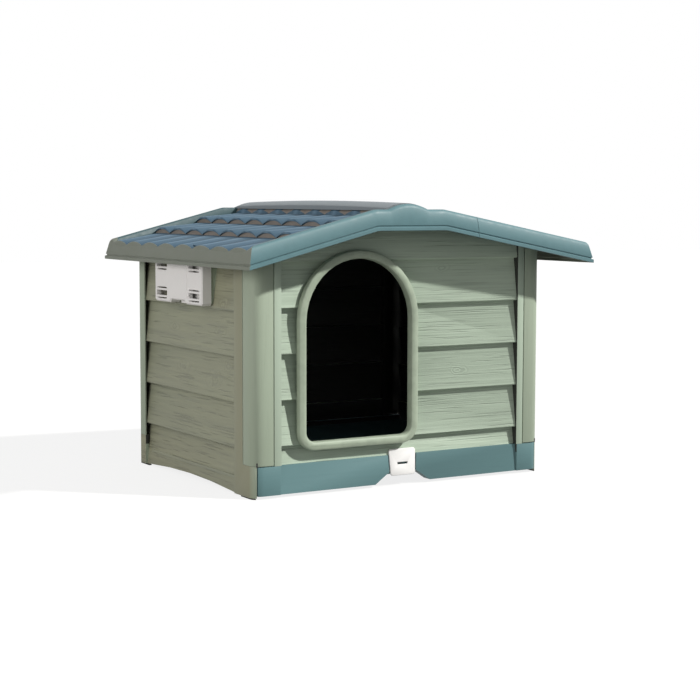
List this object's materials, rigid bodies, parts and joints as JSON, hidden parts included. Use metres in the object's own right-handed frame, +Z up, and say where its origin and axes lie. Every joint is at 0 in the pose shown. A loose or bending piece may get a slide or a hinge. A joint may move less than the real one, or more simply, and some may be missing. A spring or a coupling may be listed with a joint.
{
  "type": "dog house",
  "caption": "Moulded outdoor dog house with lap-sided walls, an arched doorway, side vents with sliding shutters, a lift-off tiled gable roof and a raised floor.",
  "frame": {"origin": "on the ground, under the middle of the roof seen from above", "axes": "+X to the right along the front wall for someone facing the doorway, -Y out of the doorway, +Z up"},
  "size_m": [0.89, 0.75, 0.6276],
  "materials": {
    "sage_walls": "satin, embossed wood grain",
    "teal_base": "satin, fine grain",
    "blue_roof": "satin, moulded tiles",
    "white_trim": "semi-gloss",
    "steel_pin": "plain drawn wire",
    "dark_rubber": "matt"
  },
  "bodies": {
    "house": {"base_tray": "teal_base", "front_wall": "sage_walls", "rear_wall": "sage_walls", "left_wall": "sage_walls", "right_wall": "sage_walls", "door_surround": "sage_walls", "front_left_post": "sage_walls", "front_right_post": "sage_walls", "rear_left_post": "sage_walls", "rear_right_post": "sage_walls", "left_vent_housing": "white_trim", "right_vent_housing": "white_trim", "latch_pin": "steel_pin", "front_left_foot_pad": "dark_rubber", "front_right_foot_pad": "dark_rubber", "rear_left_foot_pad": "dark_rubber", "rear_right_foot_pad": "dark_rubber"},
    "roof": {"left_roof_panel": "blue_roof", "right_roof_panel": "blue_roof", "ridge_cap": "blue_roof"},
    "left_shutter": {"left_vent_shutter": "white_trim"},
    "right_shutter": {"right_vent_shutter": "white_trim"},
    "latch": {"front_latch": "white_trim"}
  },
  "joints": [
    {"name": "roof_lift", "type": "slide", "parent": "house", "child": "roof", "axis": [0, 0, 1], "range_m": [0, 0.2]},
    {"name": "left_vent_slide", "type": "slide", "parent": "house", "child": "left_shutter", "axis": [0, 1, 0], "range_m": [0, 0.027]},
    {"name": "right_vent_slide", "type": "slide", "parent": "house", "child": "right_shutter", "axis": [0, 1, 0], "range_m": [0, 0.027]},
    {"name": "latch_swing", "type": "hinge", "parent": "house", "child": "latch", "pos_m": [-0.0225, -0.285, 0.036], "axis": [1, 0, 0], "range_deg": [0, 90]}
  ]
}
